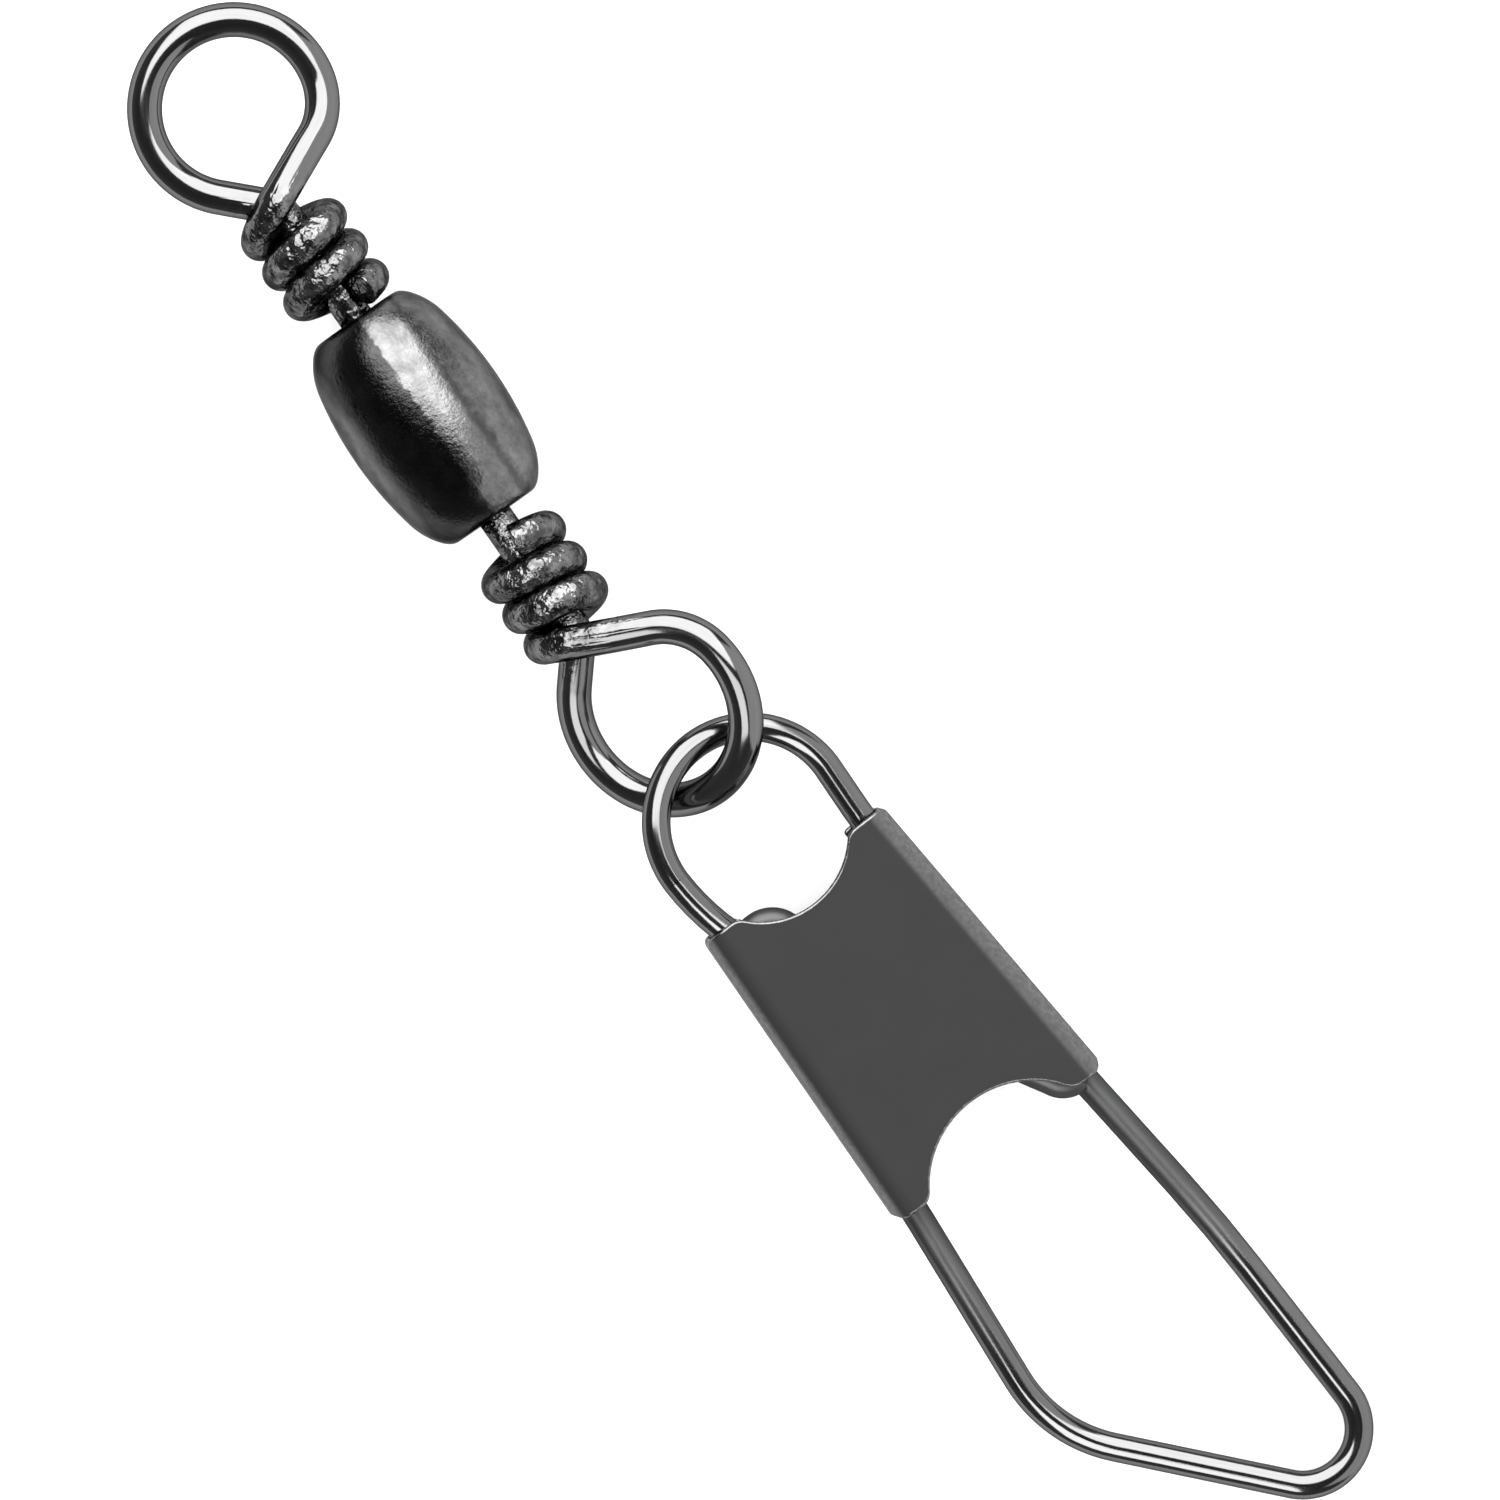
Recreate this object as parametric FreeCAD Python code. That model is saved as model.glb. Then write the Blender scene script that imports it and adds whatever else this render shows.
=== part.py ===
import FreeCAD, Part
import os
from math import asin, ceil, cos, degrees, pi, radians, sin, sqrt, tan

Vec = FreeCAD.Vector

# Barrel: a hollow metal body, swaged in at both ends, that holds the heads of the two eyes
barrel_d = 4.47
barrel_length = 6.46
barrel_end_d = 2.70
barrel_crown_half = 2.08
barrel_crown_drop = 0.22
barrel_shoulder_bulge = 0.11
barrel_wall = 0.45
barrel_end_wall = 0.55

# Eyes: one wire each, with a head in the barrel, a shank, a loop and wraps round its own shank
eye_wire_d = 0.95
shank_running_gap = 0.05
head_d = 2.20
head_length = 0.70
head_bevel = 0.20
head_play = 0.06
wrap_gap = 0.03
wrap_turns = 2.66
neck_bend_radius = 0.80
neck_angle = 45.0
return_angle = 101.0
return_lean = 25.0
wrap_start_inset = 0.13

# The eye for the line, which lies flat
line_eye_reach = 6.50
line_eye_radius = 2.39
line_eye_side = 0.53
line_eye_return_reach = 7.05
line_eye_return_bearing = 84.0

# The eye for the snap, which is rolled about the barrel's axis so that the links pass each other
snap_eye_reach = 6.80
snap_eye_radius = 2.55
snap_eye_side = 0.775
snap_eye_return_reach = 7.20
snap_eye_return_bearing = 68.0
snap_eye_roll = 32.0

# Snap wire: two layers of wire lie in the clasp, one behind the other
snap_wire_d = 0.78
layer_gap = 0.04
link_loop_radius = 2.56
link_loop_reach = 1.72
link_loop_shift = 0.10
link_bend_radius = 6.0
link_leg_radius = 6.70
link_leg_lean = 14.0
front_hook_radius = 0.59
front_hook_inset = 0.15
front_hook_side = 2.30
front_hook_tail = 0.45
back_hook_radius = 0.72
back_hook_width = 1.52
back_hook_inset = 0.58
back_hook_tail = 1.12
channel_bend_radius = 16.0
heel_reach = 7.01
heel_side = 3.62
heel_radius = 4.0
nose_angle = 40.6
nose_side = 3.35
nose_radius = 1.51
long_leg_reach = 5.28
long_leg_side = 3.29
long_leg_radius = 40.0

# Clasp: a sheet folded round both legs of the snap wire, open along the middle of its back
clasp_length = 9.14
clasp_top_width = 5.98
clasp_bottom_width = 6.92
clasp_sheet = 0.18
clasp_seat_gap = 0.02
clasp_fold_radius = 0.56
clasp_flange = 1.20
clasp_top_cut_radius = 2.34
clasp_top_cut_depth = 0.93
clasp_top_cut_shift = -0.09
clasp_bottom_cut_radius = 2.79
clasp_bottom_cut_depth = 1.43
clasp_bottom_cut_shift = 0.0
clasp_cut_blend = 0.45
clasp_top_corner_radius = 0.16
clasp_bottom_corner_radius = 0.32

# How the linked parts lie
link_slack = 0.335
link_rise = 0.22
snap_shift = 0.90
snap_yaw = 2.5
snap_roll = 3.0

# How far a cutting shape stands out of what it cuts
cut_overrun = 0.5

barrel_r = barrel_d / 2
eye_wire_r = eye_wire_d / 2
snap_wire_r = snap_wire_d / 2
layer_height = (snap_wire_d + layer_gap) / 2
clasp_half_height = layer_height + snap_wire_r + clasp_seat_gap + clasp_sheet
clasp_taper = (clasp_bottom_width - clasp_top_width) / 2 / clasp_length
channel_inset = clasp_sheet + clasp_seat_gap + snap_wire_r


def sweep_wire(edges, radius):
    """A round wire along a smooth chain of edges."""
    path = Part.Wire(edges)
    first = edges[0]
    start = first.valueAt(first.FirstParameter)
    heading = first.tangentAt(first.FirstParameter)
    profile = Part.Wire(Part.makeCircle(radius, start, heading))
    return path.makePipeShell([profile], True, False)


def spindle(half_length, radius, end_radius, wall):
    """A solid of the barrel's form, drawn in by a wall on its crown."""
    crown_radius = radius - barrel_crown_drop
    crown_x = barrel_crown_half - wall / 2
    run = Vec(half_length - crown_x, end_radius - crown_radius, 0)
    middle = Vec((half_length + crown_x) / 2, (end_radius + crown_radius) / 2, 0)
    bulge = Vec(-run.y, run.x, 0).normalize() * barrel_shoulder_bulge
    shoulder = middle + bulge
    edges = [
        Part.LineSegment(Vec(-half_length, 0, 0), Vec(-half_length, end_radius, 0)),
        Part.Arc(Vec(-half_length, end_radius, 0), Vec(-shoulder.x, shoulder.y, 0),
                 Vec(-crown_x, crown_radius, 0)),
        Part.Arc(Vec(-crown_x, crown_radius, 0), Vec(0, radius, 0), Vec(crown_x, crown_radius, 0)),
        Part.Arc(Vec(crown_x, crown_radius, 0), shoulder, Vec(half_length, end_radius, 0)),
        Part.LineSegment(Vec(half_length, end_radius, 0), Vec(half_length, 0, 0)),
        Part.LineSegment(Vec(half_length, 0, 0), Vec(-half_length, 0, 0)),
    ]
    face = Part.Face(Part.Wire([edge.toShape() for edge in edges]))
    return face.revolve(Vec(0, 0, 0), Vec(1, 0, 0), 360)


def make_barrel():
    """The hollow barrel, with a hole for a shank through each end."""
    body = spindle(barrel_length / 2, barrel_r, barrel_end_d / 2, 0)
    cavity_half = barrel_length / 2 - barrel_end_wall
    cavity = spindle(cavity_half, barrel_r - barrel_wall, head_d / 2 + head_play, barrel_wall)
    hole_r = eye_wire_r + shank_running_gap
    hole_start = Vec(-barrel_length / 2 - cut_overrun, 0, 0)
    hole = Part.makeCylinder(hole_r, barrel_length + 2 * cut_overrun, hole_start, Vec(1, 0, 0))
    return body.cut(cavity).cut(hole)


def make_head():
    """The upset head that keeps a shank in the barrel, with both rims bevelled."""
    seat = barrel_length / 2 - barrel_end_wall - head_play
    back = seat - head_length
    rim = head_d / 2
    outline = [
        Vec(back, 0, 0),
        Vec(back, rim - head_bevel, 0),
        Vec(back + head_bevel, rim, 0),
        Vec(seat - head_bevel, rim, 0),
        Vec(seat, rim - head_bevel, 0),
        Vec(seat, 0, 0),
        Vec(back, 0, 0),
    ]
    face = Part.Face(Part.makePolygon(outline))
    return face.revolve(Vec(0, 0, 0), Vec(1, 0, 0), 360)


def loop_centre(reach, loop_radius, loop_side):
    """Centre of an eye's loop, from the straight leg that joins it to the bend at the neck."""
    angle = radians(neck_angle)
    neck_x = reach + neck_bend_radius * sin(angle)
    neck_y = -neck_bend_radius * (1 - cos(angle))
    leg = (neck_y + loop_radius * cos(angle) - loop_side) / sin(angle)
    return Vec(neck_x + leg * cos(angle) + loop_radius * sin(angle), loop_side, 0)


def on_circle(centre, radius, bearing):
    """The point of a flat circle at a bearing in degrees from +X."""
    turn = radians(bearing)
    return centre + Vec(cos(turn), sin(turn), 0) * radius


def loop_edges(reach, loop_radius, loop_side):
    """Centreline edges from the shank's end through the neck's bend and round the loop."""
    bend_centre = Vec(reach, -neck_bend_radius, 0)
    centre = loop_centre(reach, loop_radius, loop_side)
    bend = [on_circle(bend_centre, neck_bend_radius, 90 - neck_angle * share) for share in (0, 0.5, 1)]
    start = -90 - neck_angle
    sweep = return_angle - start
    loop = [on_circle(centre, loop_radius, start + sweep * share) for share in (0, 0.5, 1)]
    return [
        Part.Arc(*bend).toShape(),
        Part.LineSegment(bend[2], loop[0]).toShape(),
        Part.Arc(*loop).toShape(),
    ]


def tangent_arcs(start, heading, end, end_heading):
    """Two arcs that make one smooth bend from a point and heading to another."""
    chord = end - start
    spread = 1 - heading.dot(end_heading)
    along = chord.dot(heading + end_heading)
    reach = (sqrt(along * along + 2 * spread * chord.dot(chord)) - along) / (2 * spread)
    joint = (start + end + (heading - end_heading) * reach) / 2
    edges = []
    for first, corner, last in ((start, start + heading * reach, joint), (joint, end - end_heading * reach, end)):
        lean = (last - first).Length / (2 * reach)
        middle = (first + last) / 2
        edges.append(Part.Arc(first, middle + (corner - middle) * (lean / (1 + lean)), last).toShape())
    return edges


def wrap_edges(reach, loop_radius, loop_side, return_reach, return_bearing):
    """Centreline from the loop's end, over the shank and down the wraps round it to the cut end."""
    wrap_radius = eye_wire_d + wrap_gap
    heading = radians(return_angle + 90)
    leave = on_circle(loop_centre(reach, loop_radius, loop_side), loop_radius, return_angle)
    bearing = radians(return_bearing)
    lean = radians(return_lean)
    crossing = Vec(return_reach, wrap_radius * cos(bearing), wrap_radius * sin(bearing))
    across = Vec(-sin(lean), -cos(lean) * sin(bearing), cos(lean) * cos(bearing))
    stops = [(leave, Vec(cos(heading), sin(heading), 0)), (crossing, across)]
    half_turns = ceil(wrap_turns * 2)
    for index in range(half_turns + 1):
        turns = min(index / 2, wrap_turns)
        turn = pi + 2 * pi * turns
        x = reach - wrap_start_inset - wrap_radius * turns
        climb = Vec(-1 / (2 * pi), -sin(turn), cos(turn)).normalize()
        stops.append((Vec(x, wrap_radius * cos(turn), wrap_radius * sin(turn)), climb))
    edges = []
    for (start, start_heading), (end, end_heading) in zip(stops, stops[1:]):
        edges += tangent_arcs(start, start_heading, end, end_heading)
    return edges


def make_eye(reach, loop_radius, loop_side, return_reach, return_bearing):
    """An eye on the +X side of the barrel: head, shank, loop and wraps in one piece."""
    start = barrel_length / 2 - barrel_end_wall - head_play - head_length / 2
    shank = Part.LineSegment(Vec(start, 0, 0), Vec(reach, 0, 0)).toShape()
    loop = loop_edges(reach, loop_radius, loop_side)
    wraps = wrap_edges(reach, loop_radius, loop_side, return_reach, return_bearing)
    wire = sweep_wire([shank] + loop + wraps, eye_wire_r)
    return wire.fuse(make_head()).removeSplitter()


def clasp_half_width(u):
    """Half the clasp's width at a distance along it."""
    return clasp_top_width / 2 + clasp_taper * u


def channel_side(u):
    """Distance from the clasp's middle line to the centre of the wire in a side channel."""
    return clasp_half_width(u) - channel_inset


def rounded_path(corners, level):
    """Edges through corners, each with its own bend radius, at one height in the clasp."""
    edges = []
    last = Vec(corners[0][0], corners[0][1], level)
    for index in range(1, len(corners) - 1):
        before = Vec(corners[index - 1][0], corners[index - 1][1], level)
        corner = Vec(corners[index][0], corners[index][1], level)
        after = Vec(corners[index + 1][0], corners[index + 1][1], level)
        radius = corners[index][2]
        back = (before - corner).normalize()
        ahead = (after - corner).normalize()
        half = back.getAngle(ahead) / 2
        inner = (back + ahead).normalize()
        entry = corner + back * (radius / tan(half))
        leave = corner + ahead * (radius / tan(half))
        middle = corner + inner * (radius / sin(half) - radius)
        edges.append(Part.LineSegment(last, entry).toShape())
        edges.append(Part.Arc(entry, middle, leave).toShape())
        last = leave
    end = Vec(corners[-1][0], corners[-1][1], level)
    edges.append(Part.LineSegment(last, end).toShape())
    return edges


def back_layer_edges():
    """From the free end's hook down the short leg, round the lower loop and up the long leg."""
    hook_u = back_hook_inset
    hook_v = -channel_side(hook_u)
    foot = clasp_length
    nose_u = clasp_length + heel_reach + (nose_side + heel_side) / tan(radians(nose_angle))
    corners = [
        (hook_u + back_hook_tail, hook_v + back_hook_width, 0),
        (hook_u, hook_v + back_hook_width, back_hook_radius),
        (hook_u, hook_v, back_hook_radius),
        (foot, -channel_side(foot), channel_bend_radius),
        (foot + heel_reach, -heel_side, heel_radius),
        (nose_u, nose_side, nose_radius),
        (foot + long_leg_reach, long_leg_side, long_leg_radius),
        (foot, channel_side(foot), channel_bend_radius),
        (0, channel_side(0), link_bend_radius),
        (-link_loop_reach, channel_side(0) + link_loop_shift, 0),
    ]
    return rounded_path(corners, -layer_height)


def link_loop_edge():
    """The top loop: a half circle, tilted to climb from the back layer on its right to the front one."""
    right = channel_side(0) + link_loop_shift
    left = right - 2 * link_loop_radius
    top = Vec(-link_loop_reach - sqrt(link_loop_radius ** 2 + layer_height ** 2), (left + right) / 2, 0)
    return Part.Arc(Vec(-link_loop_reach, right, -layer_height), top,
                    Vec(-link_loop_reach, left, layer_height)).toShape()


def front_layer_edges():
    """From the top loop across behind the front sheet to the hook over the long leg."""
    left = channel_side(0) + link_loop_shift - 2 * link_loop_radius
    hook_u = clasp_length - front_hook_inset
    corners = [
        (-link_loop_reach, left, 0),
        (-link_loop_reach + link_leg_radius * tan(radians(link_leg_lean)), left, link_leg_radius),
        (hook_u, front_hook_side, front_hook_radius),
        (hook_u, front_hook_side + front_hook_tail, 0),
    ]
    return rounded_path(corners, layer_height)


def make_snap_wire():
    """The whole snap wire in its own frame: u away from the barrel, the clasp's top edge at 0."""
    edges = back_layer_edges() + [link_loop_edge()] + front_layer_edges()
    return sweep_wire(edges, snap_wire_r)


def fold_section(u, half_width, half_height, radius):
    """A rounded rectangle across the clasp at one distance along it."""
    flat_v = half_width - radius
    flat_w = half_height - radius
    slope = radius * cos(pi / 4)
    edges = []
    for v, w, next_v, next_w in ((1, 1, -1, 1), (-1, 1, -1, -1), (-1, -1, 1, -1), (1, -1, 1, 1)):
        if w == next_w:
            start = Vec(u, v * flat_v, w * half_height)
            end = Vec(u, next_v * flat_v, w * half_height)
            mid = Vec(u, next_v * (flat_v + slope), w * (flat_w + slope))
            stop = Vec(u, next_v * half_width, w * flat_w)
        else:
            start = Vec(u, v * half_width, w * flat_w)
            end = Vec(u, v * half_width, next_w * flat_w)
            mid = Vec(u, v * (flat_v + slope), next_w * (flat_w + slope))
            stop = Vec(u, v * flat_v, next_w * half_height)
        edges.append(Part.LineSegment(start, end).toShape())
        edges.append(Part.Arc(end, mid, stop).toShape())
    return Part.Wire(edges)


def fold_body(inset, overrun):
    """The clasp's outer form, or its inner one when inset by the sheet's thickness."""
    sections = []
    for u in (-overrun, clasp_length + overrun):
        half_width = clasp_half_width(u) - inset
        sections.append(fold_section(u, half_width, clasp_half_height - inset, clasp_fold_radius - inset))
    return Part.makeLoft(sections, True, True)


def back_opening():
    """The gap between the two flanges on the clasp's back."""
    top = -2 * cut_overrun
    foot = clasp_length + 2 * cut_overrun
    outline = []
    for u, side in ((top, -1), (foot, -1), (foot, 1), (top, 1), (top, -1)):
        half_width = clasp_half_width(u) - clasp_flange
        outline.append(Vec(u, side * half_width, -clasp_half_height - cut_overrun))
    face = Part.Face(Part.makePolygon(outline))
    return face.extrude(Vec(0, 0, cut_overrun + 2 * clasp_sheet))


def end_outline(end_u, inward, cut_radius, cut_depth, cut_shift, corner_radius):
    """Edges and two side tips of one end of the clasp: rounded corners and a blended hollow."""
    def at(depth, v):
        return Vec(end_u + inward * depth, v, 0)

    blend = clasp_cut_blend
    reach = sqrt((cut_radius + blend) ** 2 - (blend + cut_radius - cut_depth) ** 2)
    share = cut_radius / (cut_radius + blend)
    meet_depth = blend - (blend + cut_radius - cut_depth) * (1 - share)
    edges = []
    tips = []
    meets = []
    for side in (-1, 1):
        side_v = side * clasp_half_width(end_u + inward * corner_radius)
        flat_v = side_v - side * corner_radius
        blend_v = cut_shift + side * reach
        meet = at(meet_depth, cut_shift + side * reach * share)
        corner = at(corner_radius, flat_v)
        outside = at(corner_radius, side_v)
        start = at(0, flat_v)
        stop = at(0, blend_v)
        hollow = at(blend, blend_v)
        tip = at(2 * corner_radius, side_v + side * corner_radius)
        edges.append(Part.LineSegment(tip, outside))
        edges.append(Part.Arc(outside, corner + (outside + start - corner * 2).normalize() * corner_radius, start))
        edges.append(Part.LineSegment(start, stop))
        edges.append(Part.Arc(stop, hollow + (stop + meet - hollow * 2).normalize() * blend, meet))
        tips.append(tip)
        meets.append(meet)
    edges.append(Part.Arc(meets[0], at(cut_depth, cut_shift), meets[1]))
    return edges, tips


def clasp_outline():
    """A block with the clasp's outline seen from the front."""
    top, top_tips = end_outline(0, 1, clasp_top_cut_radius, clasp_top_cut_depth, clasp_top_cut_shift,
                                clasp_top_corner_radius)
    foot, foot_tips = end_outline(clasp_length, -1, clasp_bottom_cut_radius, clasp_bottom_cut_depth,
                                  clasp_bottom_cut_shift, clasp_bottom_corner_radius)
    sides = [Part.LineSegment(start, end) for start, end in zip(top_tips, foot_tips)]
    edges = [edge.toShape() for edge in top + foot + sides]
    face = Part.Face(Part.Wire(Part.__sortEdges__(edges)))
    face.translate(Vec(0, 0, -clasp_half_height - cut_overrun))
    return face.extrude(Vec(0, 0, 2 * clasp_half_height + 2 * cut_overrun))


def make_clasp():
    """The folded sheet in the snap wire's frame."""
    shell = fold_body(0, cut_overrun).cut(fold_body(clasp_sheet, 2 * cut_overrun)).cut(back_opening())
    return shell.common(clasp_outline())


def snap_placement(eye_far_x):
    """Where the snap lies: its top loop through the eye, its nose on the ground."""
    height = barrel_r + link_rise
    roll = radians(snap_roll)
    loop_v = channel_side(0) + link_loop_shift - link_loop_radius
    nose_u = clasp_length + heel_reach + (nose_side + heel_side) / tan(radians(nose_angle))
    lowest_u = nose_u - nose_radius / tan(radians(nose_angle / 2)) + nose_radius * cos(pi / 4)
    lowest_v = nose_side - nose_radius + nose_radius * sin(pi / 4)
    drop = height - snap_wire_r - layer_height * cos(roll) - (lowest_v - loop_v) * sin(roll)
    pitch = asin(drop / (lowest_u + link_loop_reach))
    turn = FreeCAD.Rotation(Vec(0, 0, 1), snap_yaw)
    turn = turn.multiply(FreeCAD.Rotation(Vec(0, 1, 0), degrees(pitch)))
    turn = turn.multiply(FreeCAD.Rotation(Vec(1, 0, 0), -snap_roll))
    apex_x = eye_far_x - eye_wire_r - snap_wire_r - link_slack
    top_centre = Vec(-link_loop_reach, loop_v, 0)
    target = Vec(apex_x + link_loop_radius * cos(pitch), snap_shift, height)
    return FreeCAD.Placement(target - turn.multVec(top_centre), turn)


def make_parts():
    """Every piece where it lies, with the barrel on the ground and its axis along X."""
    axis_lift = Vec(0, 0, barrel_r)
    line_eye = make_eye(line_eye_reach, line_eye_radius, line_eye_side, line_eye_return_reach,
                        line_eye_return_bearing)
    line_eye = line_eye.mirror(Vec(0, 0, 0), Vec(1, 0, 0))
    snap_eye = make_eye(snap_eye_reach, snap_eye_radius, snap_eye_side, snap_eye_return_reach,
                        snap_eye_return_bearing)
    eye_far_x = loop_centre(snap_eye_reach, snap_eye_radius, snap_eye_side).x + snap_eye_radius
    snap_eye.rotate(Vec(0, 0, 0), Vec(1, 0, 0), snap_eye_roll)
    parts = {"barrel": make_barrel(), "line_eye": line_eye, "snap_eye": snap_eye}
    for shape in parts.values():
        shape.translate(axis_lift)
    for name, shape in (("snap_wire", make_snap_wire()), ("clasp_plate", make_clasp())):
        shape.Placement = snap_placement(eye_far_x)
        parts[name] = shape
    return parts


def main():
    os.makedirs("parts", exist_ok=True)
    parts = make_parts()
    box = Part.makeCompound(list(parts.values())).optimalBoundingBox()
    shift = Vec(-(box.XMin + box.XMax) / 2, -(box.YMin + box.YMax) / 2, -box.ZMin)
    for name, shape in parts.items():
        shape.translate(shift)
        solid = shape.Solids[0]
        print(name, "solids", len(shape.Solids), "valid", shape.isValid(), "volume", round(solid.Volume, 3))
        solid.exportStep(os.path.join("parts", name + ".step"))
    print("box", box, "shift", shift)


main()
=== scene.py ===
from math import asin, atan2, ceil, cos, degrees, pi, radians, sin, sqrt, tan

import bmesh
import bpy
from mathutils import Matrix, Vector


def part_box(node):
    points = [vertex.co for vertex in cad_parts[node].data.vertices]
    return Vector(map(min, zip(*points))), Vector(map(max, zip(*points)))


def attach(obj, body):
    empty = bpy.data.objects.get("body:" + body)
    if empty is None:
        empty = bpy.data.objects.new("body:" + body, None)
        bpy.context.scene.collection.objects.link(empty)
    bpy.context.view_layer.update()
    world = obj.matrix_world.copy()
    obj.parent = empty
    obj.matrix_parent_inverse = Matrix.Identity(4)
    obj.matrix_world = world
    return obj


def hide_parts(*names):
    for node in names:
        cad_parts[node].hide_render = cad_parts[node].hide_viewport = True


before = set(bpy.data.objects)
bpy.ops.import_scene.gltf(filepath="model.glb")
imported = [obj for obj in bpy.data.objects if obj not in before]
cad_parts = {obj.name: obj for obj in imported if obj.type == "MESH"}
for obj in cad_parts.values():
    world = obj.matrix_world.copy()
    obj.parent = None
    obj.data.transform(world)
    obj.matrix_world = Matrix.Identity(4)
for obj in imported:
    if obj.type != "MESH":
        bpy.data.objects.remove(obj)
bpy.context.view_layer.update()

# The pieces are worked out in millimetres round the middle of the barrel and scaled to metres at the end
MM = 0.001
barrel_low, barrel_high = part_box("barrel")
BARREL_CENTRE = (barrel_low + barrel_high) / 2

# Barrel
BARREL_LENGTH = (barrel_high.x - barrel_low.x) / MM
BARREL_R = (barrel_high.z - barrel_low.z) / 2 / MM
BARREL_END_R = 1.35
BARREL_CROWN_HALF = 2.08
BARREL_CROWN_DROP = 0.22
BARREL_SHOULDER_BULGE = 0.11
BARREL_RIM_RADIUS = 0.16
BARREL_WALL = 0.45
BARREL_END_WALL = 0.55
HOLE_GAP = 0.05
HOLE_CHAMFER = 0.04

# Eyes
EYE_WIRE_R = 0.475
HEAD_R = 1.10
HEAD_LENGTH = 0.70
HEAD_BEVEL = 0.20
HEAD_PLAY = 0.06
WRAP_GAP = 0.03
WRAP_TURNS = 2.66
NECK_BEND_RADIUS = 0.80
NECK_ANGLE = 45.0
RETURN_ANGLE = 101.0
RETURN_LEAN = 25.0
WRAP_START_INSET = 0.13
WORKED_FADE = 0.5
LINE_EYE = {"reach": 6.50, "radius": 2.39, "side": 0.53, "return_reach": 7.05, "return_bearing": 84.0}
SNAP_EYE = {"reach": 6.80, "radius": 2.55, "side": 0.775, "return_reach": 7.20, "return_bearing": 68.0}
SNAP_EYE_ROLL = 32.0

# Snap wire
SNAP_WIRE_R = 0.39
LAYER_HEIGHT = 0.41
LINK_LOOP_RADIUS = 2.56
LINK_LOOP_REACH = 1.72
LINK_LOOP_SHIFT = 0.10
LINK_BEND_RADIUS = 6.0
LINK_LEG_RADIUS = 6.70
LINK_LEG_LEAN = 14.0
FRONT_HOOK_RADIUS = 0.59
FRONT_HOOK_INSET = 0.15
FRONT_HOOK_SIDE = 2.30
FRONT_HOOK_TAIL = 0.45
BACK_HOOK_RADIUS = 0.72
BACK_HOOK_WIDTH = 1.52
BACK_HOOK_INSET = 0.58
BACK_HOOK_TAIL = 1.12
CHANNEL_BEND_RADIUS = 16.0
HEEL_REACH = 7.01
HEEL_SIDE = 3.62
HEEL_RADIUS = 4.0
NOSE_ANGLE = 40.6
NOSE_SIDE = 3.35
NOSE_RADIUS = 1.51
LONG_LEG_REACH = 5.28
LONG_LEG_SIDE = 3.29
LONG_LEG_RADIUS = 40.0

# Clasp
CLASP_LENGTH = 9.14
CLASP_TOP_HALF = 2.99
CLASP_BOTTOM_HALF = 3.46
CLASP_SHEET = 0.18
CLASP_SEAT_GAP = 0.02
CLASP_FOLD_RADIUS = 0.56
CLASP_FLANGE = 1.20
TOP_END = {"radius": 2.34, "depth": 0.93, "shift": -0.09, "corner": 0.16}
BOTTOM_END = {"radius": 2.79, "depth": 1.43, "shift": 0.0, "corner": 0.32}
CUT_BLEND = 0.45
CLASP_EDGE_BEVEL = 0.07
CLASP_HALF_HEIGHT = LAYER_HEIGHT + SNAP_WIRE_R + CLASP_SEAT_GAP + CLASP_SHEET
CLASP_TAPER = (CLASP_BOTTOM_HALF - CLASP_TOP_HALF) / CLASP_LENGTH
CHANNEL_INSET = CLASP_SHEET + CLASP_SEAT_GAP + SNAP_WIRE_R

# How far beyond the clasp each leg of the snap wire is satin, and how softly that ends
SHORT_LEG_SATIN = 3.8
LONG_LEG_SATIN = 5.6
SATIN_FADE = 2.4

# How far in from each of the clasp's folded edges a painted highlight lightens its surface, and the share at
# full strength
SHORT_SIDE_PAINTED_SHEEN = 0.20
LONG_SIDE_PAINTED_SHEEN = 0.50
FULL_PAINTED_SHEEN_SHARE = 0.1

# Painted shade on the barrel, a dark band down one side and a thin dark line beside its bright strip: where
# each edge fades, across it
PAINTED_SHADE_OUTER_EDGE = (-1.90, -1.60)
PAINTED_SHADE_INNER_EDGE = (-0.02, 0.06)
PAINTED_LINE_INNER_EDGE = (0.92, 1.02)
PAINTED_LINE_OUTER_EDGE = (1.12, 1.30)
PAINTED_LINE_SHARE = 0.7

# How the linked parts lie
LINK_SLACK = 0.335
LINK_RISE = 0.22
SNAP_SHIFT = 0.90
SNAP_YAW = 2.5
SNAP_ROLL = 3.0

# Mesh fineness
RING_SIDES = 32
BEND_STEP = radians(4)
SAME_POINT = 1e-4
WIRE_END_ROUNDING = 0.05
HEAD_SIDES = 48
BARREL_SIDES = 128
CROWN_STEPS = 32
SHOULDER_STEPS = 16
CLASP_ROWS = 24
FLANGE_STEPS = 6
FOLD_STEPS = 12
FRONT_STEPS = 36
SHARP_EDGE = radians(50)

# The photo's camera looks straight down, and the object lies slanting across the picture
CAMERA_TURN = 55.0
PICTURE_WIDTH = 40.05
PICTURE_CENTRE = (12.24, 2.0)
SENSOR = 36.0
CAMERA_HEIGHT = 1500.0

# The studio, in metres: how far off the light cards are, and half the floor's width
CARD_DISTANCE = 0.5
FLOOR_HALF = 1.2

# The height of a direction, from 0 level to 1 straight up, at which the sky mirrored is as dark as overhead
SKY_TOP = 0.8

# Black nickel is a grey with a trace of blue
BLUE_TRACE = 1.01


def clamp(value):
    """A share kept from 0 to 1."""
    return min(1, max(0, value))


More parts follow.
